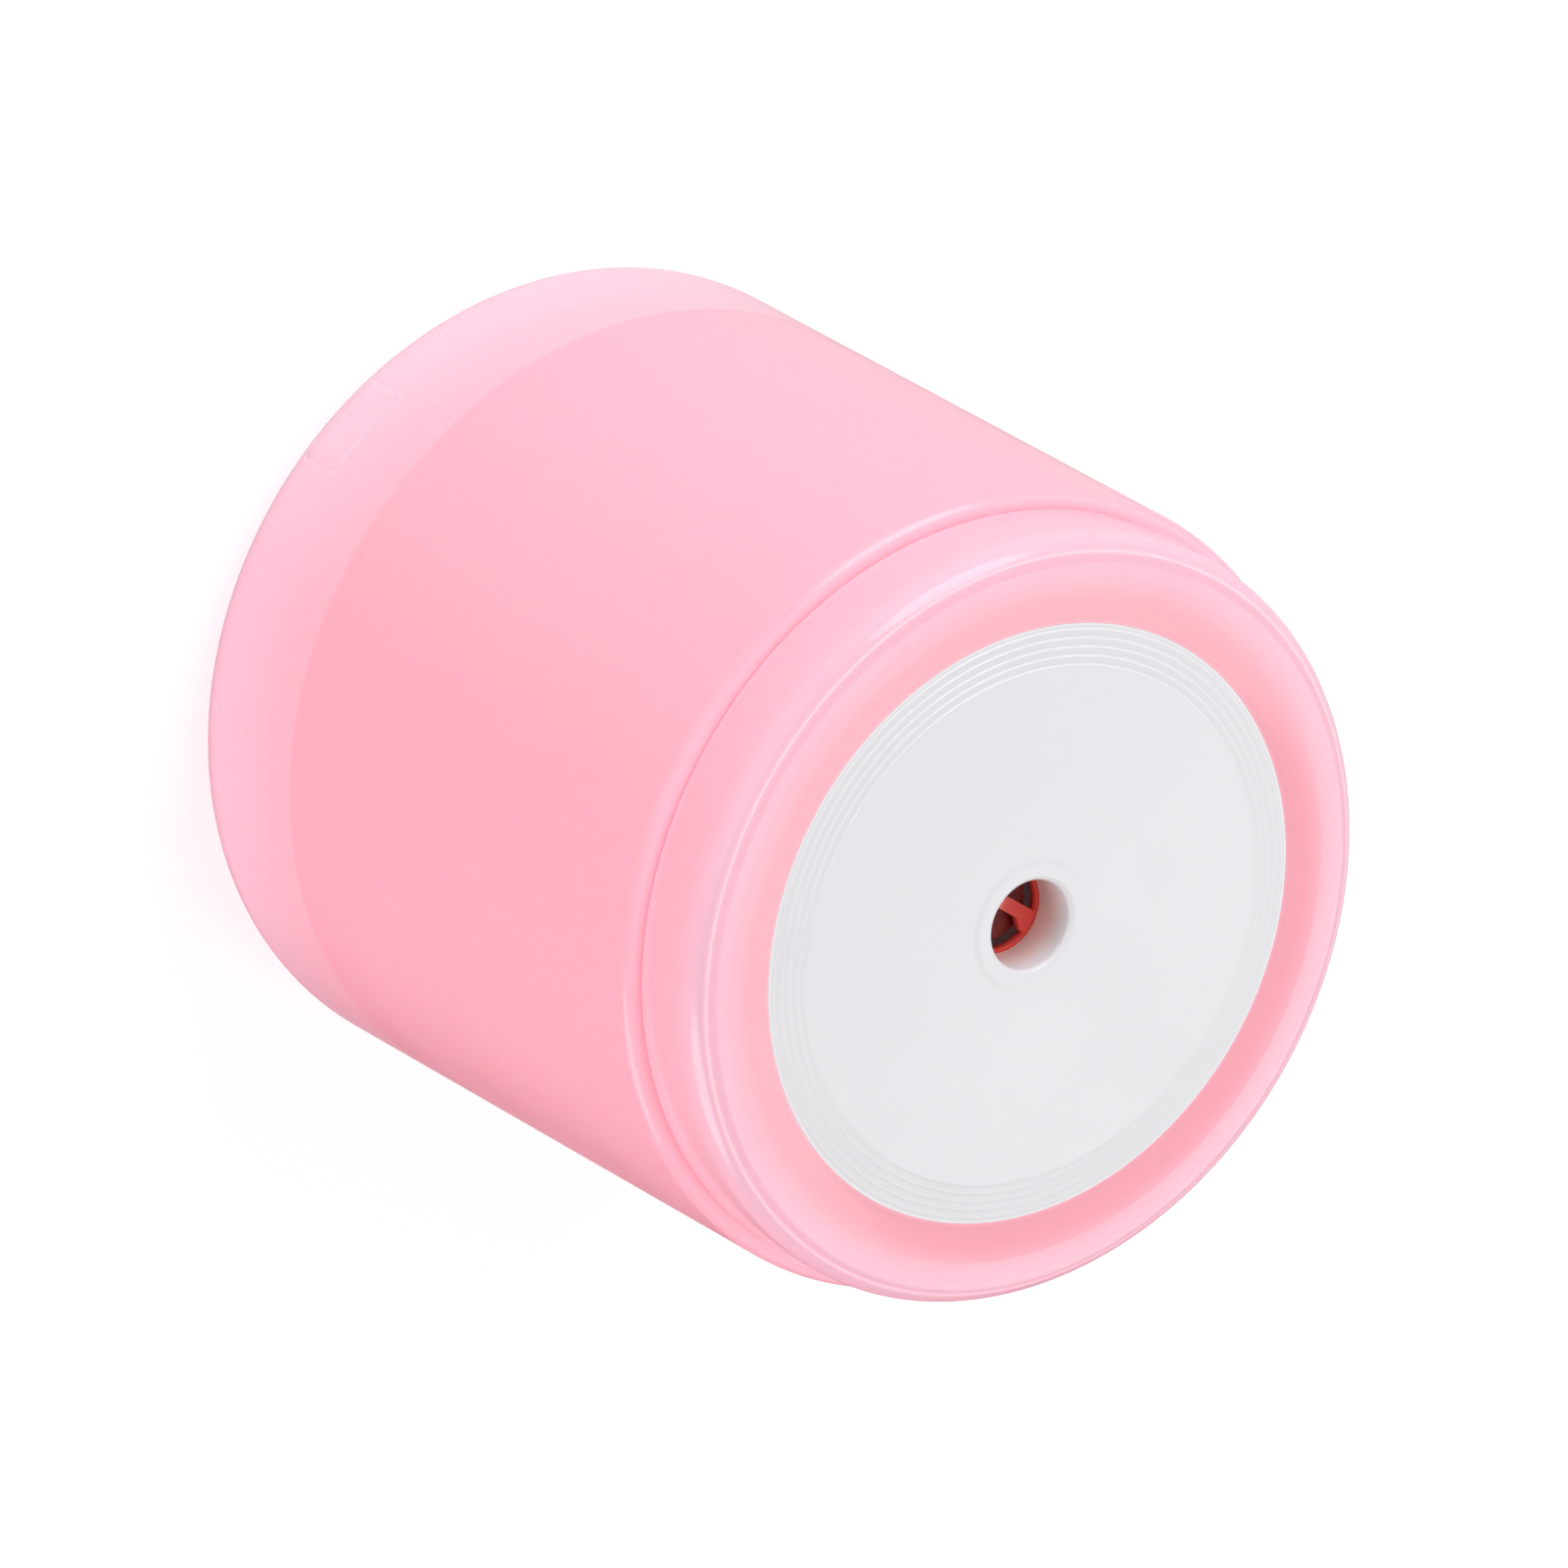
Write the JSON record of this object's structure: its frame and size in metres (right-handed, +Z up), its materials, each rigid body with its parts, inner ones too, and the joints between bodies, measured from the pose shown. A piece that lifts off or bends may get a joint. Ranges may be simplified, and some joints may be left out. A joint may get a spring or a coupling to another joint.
{
  "type": "nail dust collector",
  "caption": "Round translucent pink nail dust collector with a lift-off lid, a white suction plate with a central hole, a lift-out filter cup, a fan and a battery base.",
  "frame": {"origin": "centre of the footprint, on the surface that the feet stand on", "axes": "+Z up through the suction hole, -Y to the front near the charging port, +Y to the power button"},
  "size_m": [0.075, 0.075, 0.0796],
  "materials": {
    "shell_pink": "glossy translucent",
    "drum_pink": "glossy translucent",
    "lid_pink": "glossy translucent",
    "plate_white": "satin",
    "guard_red": "glossy",
    "flap_pink": "soft matte",
    "white_plastic": "matte",
    "filter_felt": "pleated non-woven",
    "dark_rubber": "matte",
    "zinc_steel": "zinc plated",
    "can_steel": "plated",
    "shaft_steel": "ground",
    "core_steel": "laminated",
    "magnet_black": "matte",
    "bronze": "sintered",
    "brass_contact": "bright",
    "copper_wire": "enamelled",
    "fan_black": "matte",
    "cell_wrap": "shrink sleeve",
    "board_green": "solder mask",
    "chip_black": "matte",
    "led_clear": "clear",
    "wire_red": "insulation",
    "wire_black": "insulation",
    "wire_orange": "insulation"
  },
  "bodies": {
    "body": {"rim_seal": "dark_rubber", "fan_cover": "white_plastic", "fan_deck": "white_plastic", "deck_screws": "zinc_steel", "motor_can": "can_steel", "motor_magnets": "magnet_black", "motor_end_cap": "white_plastic", "motor_bushes": "bronze", "motor_brushes": "brass_contact", "motor_terminals": "brass_contact", "inner_drum": "drum_pink", "motor_tray": "drum_pink", "outer_shell": "shell_pink", "foot_pads": "dark_rubber", "base_screws": "zinc_steel", "battery_cell": "cell_wrap", "battery_tray": "white_plastic", "circuit_board": "board_green", "board_chips": "chip_black", "board_screws": "zinc_steel", "charge_socket": "zinc_steel", "tact_switch": "chip_black", "switch_board": "board_green", "status_led": "led_clear", "motor_leads": "wire_red", "battery_leads": "wire_black", "switch_leads": "wire_orange"},
    "lid": {"suction_plate": "plate_white", "bezel_ring": "lid_pink", "lid_collar": "lid_pink", "inlet_guard": "guard_red", "lid_screws": "zinc_steel"},
    "filter_unit": {"filter_cup": "white_plastic", "filter_grid": "white_plastic", "filter_pad": "filter_felt", "filter_clamp": "white_plastic", "filter_gasket": "dark_rubber"},
    "fan": {"impeller": "fan_black", "motor_shaft": "shaft_steel", "rotor_core": "core_steel", "rotor_windings": "copper_wire", "commutator": "brass_contact"},
    "button": {"power_button": "plate_white", "switch_plunger": "chip_black"},
    "flap": {"port_flap": "flap_pink"}
  },
  "joints": [
    {"name": "lid_lift", "type": "slide", "parent": "body", "child": "lid", "axis": [0, 0, 1], "range_m": [0, 0.03]},
    {"name": "cup_lift", "type": "slide", "parent": "body", "child": "filter_unit", "axis": [0, 0, 1], "range_m": [0, 0.015]},
    {"name": "fan_spin", "type": "hinge", "parent": "body", "child": "fan", "pos_m": [0, 0, 0.05], "axis": [0, 0, 1], "continuous": true},
    {"name": "button_press", "type": "slide", "parent": "body", "child": "button", "axis": [0, -1, 0], "range_m": [0, 0.0005], "stiffness_N_per_m": 400, "springref_m": -0.0005},
    {"name": "flap_open", "type": "hinge", "parent": "body", "child": "flap", "pos_m": [-0.0096, -0.03584, 0.0045], "axis": [0.9659, -0.2588, 0], "range_deg": [0, 100]}
  ],
  "couplings": [
    {"joint": "cup_lift", "follows": "lid_lift", "ratio": 0.5}
  ]
}
